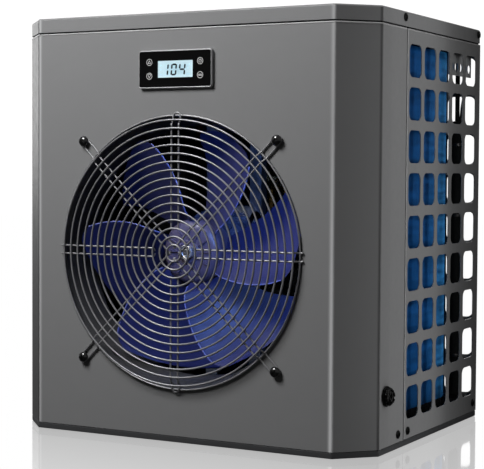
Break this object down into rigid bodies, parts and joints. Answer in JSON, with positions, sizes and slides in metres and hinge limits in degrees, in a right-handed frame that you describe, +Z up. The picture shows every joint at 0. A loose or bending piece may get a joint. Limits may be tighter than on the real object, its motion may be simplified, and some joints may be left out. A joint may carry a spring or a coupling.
{
  "type": "pool heat pump unit",
  "caption": "Compact air-source pool heat pump: sheet-metal cabinet with front fan and wire guard, L-shaped coil behind side and rear grilles, front controller and left water unions.",
  "frame": {"origin": "centre of the underside of the base pan, on the floor", "axes": "+X to the right seen from the front, +Y towards the back, +Z up; the fan blows towards -Y"},
  "size_m": [0.4612, 0.325, 0.44],
  "materials": {
    "cabinet_paint": "graphite grey powder coat, satin",
    "base_sheet": "dark grey powder coat, satin",
    "dark_sheet": "dark grey paint, matte",
    "guard_wire": "black coated wire, glossy",
    "fan_blue": "moulded blue plastic, semi-gloss",
    "brass": "turned brass",
    "steel": "turned steel",
    "motor_zinc": "dark painted motor shell",
    "zinc_sheet": "zinc plated sheet",
    "gloss_black": "polished black plastic",
    "clear_window": "clear window",
    "lcd_glass": "pale blue back-lit display",
    "circuit_board": "green laminate",
    "key_black": "black plastic, satin",
    "black_plastic": "black moulded plastic",
    "seal_rubber": "black rubber, matte",
    "fin_blue": "blue coated aluminium fins",
    "copper": "drawn copper tube",
    "compressor_paint": "black enamel",
    "grey_plastic": "grey PVC",
    "screw_black": "black coated steel, glossy"
  },
  "bodies": {
    "cabinet": {"base_pan": "base_sheet", "top_cover": "cabinet_paint", "front_panel": "cabinet_paint", "right_grille_panel": "cabinet_paint", "rear_grille_panel": "cabinet_paint", "left_panel": "cabinet_paint", "outlet_ring": "dark_sheet", "fan_guard": "guard_wire", "fan_motor": "motor_zinc", "motor_bracket": "zinc_sheet", "controller_housing": "gloss_black", "display_window": "clear_window", "lcd_display": "lcd_glass", "controller_board": "circuit_board", "gland_body": "black_plastic", "gland_locknut": "black_plastic", "gland_seal": "seal_rubber", "evaporator_fins": "fin_blue", "coil_support_rail": "dark_sheet", "evaporator_header": "copper", "compressor": "compressor_paint", "compressor_grommet_1": "seal_rubber", "compressor_grommet_2": "seal_rubber", "compressor_grommet_3": "seal_rubber", "accumulator": "compressor_paint", "four_way_valve": "brass", "filter_drier": "copper", "discharge_line": "copper", "suction_line": "copper", "liquid_line": "seal_rubber", "heat_exchanger": "black_plastic", "water_inlet_tail": "grey_plastic", "water_outlet_tail": "grey_plastic", "electrical_box": "zinc_sheet", "control_board": "circuit_board", "wiring_rail": "zinc_sheet", "guard_screw_1": "screw_black", "guard_screw_2": "screw_black", "guard_screw_3": "screw_black", "guard_screw_4": "screw_black", "panel_screw_right_1": "screw_black", "panel_screw_right_2": "screw_black", "panel_screw_right_3": "screw_black", "cover_screw_right_1": "screw_black", "cover_screw_right_2": "screw_black", "panel_screw_left_1": "screw_black", "panel_screw_left_2": "screw_black", "panel_screw_left_3": "screw_black", "cover_screw_left_1": "screw_black", "cover_screw_left_2": "screw_black"},
    "fan": {"fan_impeller": "fan_blue", "fan_nut": "brass", "motor_shaft": "steel"},
    "up_key": {"key_up": "key_black"},
    "down_key": {"key_down": "key_black"},
    "power_key": {"key_power": "key_black"},
    "set_key": {"key_set": "key_black"},
    "gland_cap": {"gland_cap_nut": "black_plastic"},
    "inlet_nut": {"water_inlet_union_nut": "black_plastic"},
    "outlet_nut": {"water_outlet_union_nut": "black_plastic"}
  },
  "joints": [
    {"name": "fan_spin", "type": "hinge", "parent": "cabinet", "child": "fan", "pos_m": [0, -0.13, 0.195], "axis": [0, -1, 0], "continuous": true},
    {"name": "key_up_press", "type": "slide", "parent": "cabinet", "child": "up_key", "axis": [0, 1, 0], "range_m": [0, 0.0006], "stiffness_N_per_m": 1500},
    {"name": "key_down_press", "type": "slide", "parent": "cabinet", "child": "down_key", "axis": [0, 1, 0], "range_m": [0, 0.0006], "stiffness_N_per_m": 1500},
    {"name": "key_power_press", "type": "slide", "parent": "cabinet", "child": "power_key", "axis": [0, 1, 0], "range_m": [0, 0.0006], "stiffness_N_per_m": 1500},
    {"name": "key_set_press", "type": "slide", "parent": "cabinet", "child": "set_key", "axis": [0, 1, 0], "range_m": [0, 0.0006], "stiffness_N_per_m": 1500},
    {"name": "gland_cap_turn", "type": "hinge", "parent": "cabinet", "child": "gland_cap", "pos_m": [0.2195, -0.108, 0.0576], "axis": [1, 0, 0], "range_deg": [0, 1080]},
    {"name": "inlet_nut_spin", "type": "hinge", "parent": "cabinet", "child": "inlet_nut", "pos_m": [-0.2, 0.03, 0.092], "axis": [-1, 0, 0], "continuous": true},
    {"name": "outlet_nut_spin", "type": "hinge", "parent": "cabinet", "child": "outlet_nut", "pos_m": [-0.2, 0.03, 0.262], "axis": [-1, 0, 0], "continuous": true}
  ]
}
